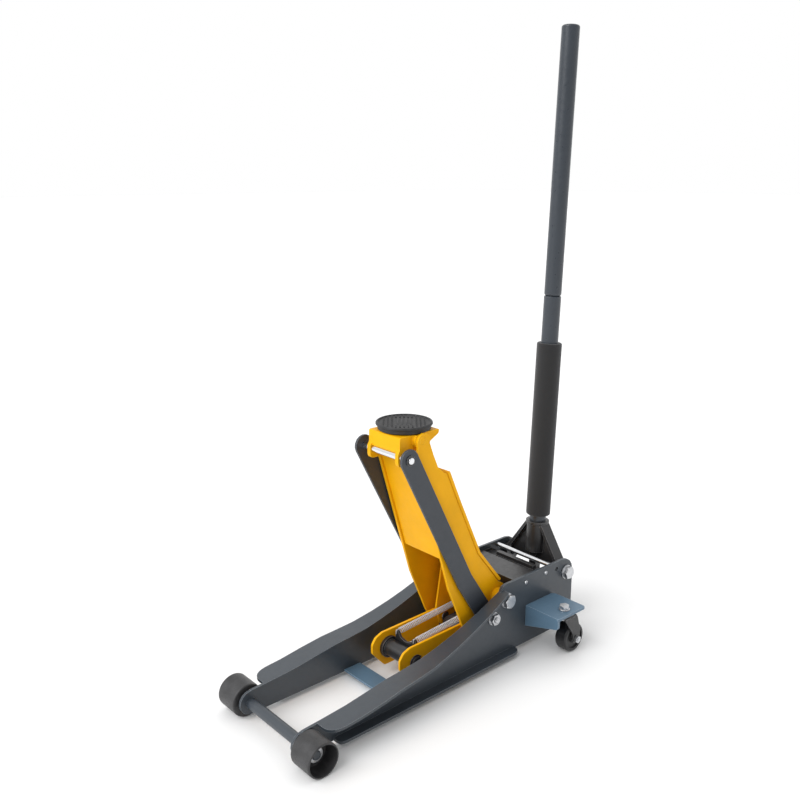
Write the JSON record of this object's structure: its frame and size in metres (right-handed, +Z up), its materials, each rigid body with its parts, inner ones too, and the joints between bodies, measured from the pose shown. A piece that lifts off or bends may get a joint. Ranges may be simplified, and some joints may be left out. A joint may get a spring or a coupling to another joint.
{
  "type": "trolley jack",
  "caption": "Low-profile hydraulic trolley jack: channel side rails on wheels and casters, a raised parallel-link lift arm with a round saddle, and a long pump handle.",
  "frame": {"origin": "on the ground under the middle of the object's box", "axes": "+X towards the handle end, -X towards the front wheels, +Y towards the side that has the far rail in the picture, +Z up"},
  "size_m": [0.7522, 0.3356, 1.1877],
  "materials": {
    "frame_paint": "satin dark blue-grey powder coat",
    "bracket_paint": "satin blue-grey paint",
    "link_paint": "satin dark grey paint",
    "yellow_paint": "semi-gloss golden yellow powder coat",
    "black_paint": "semi-gloss black paint",
    "zinc_steel": "bright zinc plate",
    "bright_steel": "polished steel",
    "cast_iron": "dark cast and turned steel",
    "tube_paint": "satin slate-grey paint",
    "saddle_rubber": "moulded rubber",
    "foam": "closed-cell foam",
    "caster_wheel_plastic": "moulded black plastic"
  },
  "bodies": {
    "chassis": {"left_side_plate": "frame_paint", "right_side_plate": "frame_paint", "front_axle": "frame_paint", "front_cross_brace": "bracket_paint", "rear_cover_plate": "black_paint", "rear_cross_rod": "bright_steel", "arm_pivot_shaft": "zinc_steel", "left_arm_bolt": "zinc_steel", "right_arm_bolt": "zinc_steel", "left_link_bolt": "zinc_steel", "right_link_bolt": "zinc_steel", "left_yoke_bolt": "zinc_steel", "right_yoke_bolt": "zinc_steel", "power_unit": "cast_iron", "ram_cylinder": "cast_iron", "spring_anchor": "black_paint", "left_caster_bracket": "bracket_paint", "right_caster_bracket": "bracket_paint", "left_kingpin": "zinc_steel", "right_kingpin": "zinc_steel", "left_wheel_washer": "zinc_steel", "right_wheel_washer": "zinc_steel", "left_return_spring": "zinc_steel", "right_return_spring": "zinc_steel"},
    "lift_arm": {"left_arm_plate": "yellow_paint", "right_arm_plate": "yellow_paint", "arm_front_cover": "yellow_paint", "arm_rear_cover": "yellow_paint", "arm_pivot_tube": "yellow_paint", "left_crank_plate": "yellow_paint", "right_crank_plate": "yellow_paint", "left_crank_pin": "zinc_steel", "right_crank_pin": "zinc_steel", "left_head_pin": "yellow_paint", "right_head_pin": "yellow_paint"},
    "saddle_head": {"saddle_head": "yellow_paint", "saddle_pin": "bright_steel"},
    "saddle": {"saddle_cup": "black_paint", "saddle_pad": "saddle_rubber"},
    "left_link": {"left_parallel_link": "link_paint"},
    "right_link": {"right_parallel_link": "link_paint"},
    "ram": {"ram_rod": "bright_steel", "crosshead": "black_paint", "spring_hanger": "black_paint"},
    "draw_links": {"left_draw_link": "yellow_paint", "right_draw_link": "yellow_paint"},
    "handle_yoke": {"handle_yoke": "black_paint"},
    "handle": {"lower_handle_tube": "tube_paint", "foam_grip": "foam"},
    "upper_handle": {"upper_handle_tube": "tube_paint"},
    "pump_plunger": {"pump_plunger": "bright_steel"},
    "release_valve": {"release_valve": "zinc_steel"},
    "left_front_wheel": {"left_front_wheel": "cast_iron"},
    "right_front_wheel": {"right_front_wheel": "cast_iron"},
    "left_caster": {"left_caster_fork": "black_paint", "left_caster_axle": "zinc_steel"},
    "right_caster": {"right_caster_fork": "black_paint", "right_caster_axle": "zinc_steel"},
    "left_caster_wheel": {"left_caster_wheel": "caster_wheel_plastic"},
    "right_caster_wheel": {"right_caster_wheel": "caster_wheel_plastic"}
  },
  "joints": [
    {"name": "arm_lift", "type": "hinge", "parent": "chassis", "child": "lift_arm", "pos_m": [0.13421, 0, 0.1226], "axis": [0, -1, 0], "range_deg": [0, 69.6]},
    {"name": "head_level", "type": "hinge", "parent": "lift_arm", "child": "saddle_head", "pos_m": [-0.06259, 0, 0.4764], "axis": [0, -1, 0], "range_deg": [-69.6, 0]},
    {"name": "saddle_swivel", "type": "hinge", "parent": "saddle_head", "child": "saddle", "pos_m": [-0.05759, 0, 0.49], "axis": [0, 0, 1], "continuous": true},
    {"name": "left_link_swing", "type": "hinge", "parent": "chassis", "child": "left_link", "pos_m": [0.09671, -0.0605, 0.0972], "axis": [0, -1, 0], "range_deg": [0, 69.6]},
    {"name": "right_link_swing", "type": "hinge", "parent": "chassis", "child": "right_link", "pos_m": [0.09671, 0.0605, 0.0972], "axis": [0, -1, 0], "range_deg": [0, 69.6]},
    {"name": "ram_slide", "type": "slide", "parent": "chassis", "child": "ram", "axis": [1, 0, 0], "range_m": [0, 0.0895], "deforming": ["left_return_spring", "right_return_spring"]},
    {"name": "draw_link_tilt", "type": "hinge", "parent": "ram", "child": "draw_links", "pos_m": [-0.06709, 0, 0.052], "axis": [0, -1, 0], "range_deg": [-5.6, 0]},
    {"name": "yoke_tilt", "type": "hinge", "parent": "chassis", "child": "handle_yoke", "pos_m": [0.31521, 0, 0.1261], "axis": [0, 1, 0], "range_deg": [0, 60]},
    {"name": "handle_twist", "type": "hinge", "parent": "handle_yoke", "child": "handle", "pos_m": [0.31271, 0, 0.1261], "axis": [0.0438, 0, 0.999], "range_deg": [0, 180]},
    {"name": "upper_tube_pull", "type": "slide", "parent": "handle", "child": "upper_handle", "axis": [0.0438, 0, 0.999], "range_m": [0, 0.078]},
    {"name": "pump_stroke", "type": "slide", "parent": "chassis", "child": "pump_plunger", "axis": [-1, 0, 0], "range_m": [0, 0.022]},
    {"name": "valve_turn", "type": "hinge", "parent": "chassis", "child": "release_valve", "pos_m": [0.29391, 0, 0.056], "axis": [-1, 0, 0], "range_deg": [0, 180]},
    {"name": "left_front_wheel_spin", "type": "hinge", "parent": "chassis", "child": "left_front_wheel", "pos_m": [-0.34609, -0.11, 0.03], "axis": [0, 1, 0], "continuous": true},
    {"name": "right_front_wheel_spin", "type": "hinge", "parent": "chassis", "child": "right_front_wheel", "pos_m": [-0.34609, 0.11, 0.03], "axis": [0, 1, 0], "continuous": true},
    {"name": "left_caster_swivel", "type": "hinge", "parent": "chassis", "child": "left_caster", "pos_m": [0.23491, -0.142, 0.08], "axis": [0, 0, 1], "continuous": true},
    {"name": "right_caster_swivel", "type": "hinge", "parent": "chassis", "child": "right_caster", "pos_m": [0.23491, 0.142, 0.08], "axis": [0, 0, 1], "continuous": true},
    {"name": "left_caster_wheel_spin", "type": "hinge", "parent": "left_caster", "child": "left_caster_wheel", "pos_m": [0.25391, -0.142, 0.029], "axis": [0, 1, 0], "continuous": true},
    {"name": "right_caster_wheel_spin", "type": "hinge", "parent": "right_caster", "child": "right_caster_wheel", "pos_m": [0.25391, 0.142, 0.029], "axis": [0, 1, 0], "continuous": true}
  ],
  "couplings": [
    {"joint": "head_level", "follows": "arm_lift", "ratio": -1},
    {"joint": "left_link_swing", "follows": "arm_lift", "ratio": 1},
    {"joint": "right_link_swing", "follows": "arm_lift", "ratio": 1},
    {"joint": "ram_slide", "follows": "arm_lift", "m_per_rad": 0.0736},
    {"joint": "draw_link_tilt", "follows": "arm_lift", "ratio": -0.08},
    {"joint": "pump_stroke", "follows": "yoke_tilt", "m_per_rad": 0.021},
    {"joint": "valve_turn", "follows": "handle_twist", "ratio": 1}
  ]
}
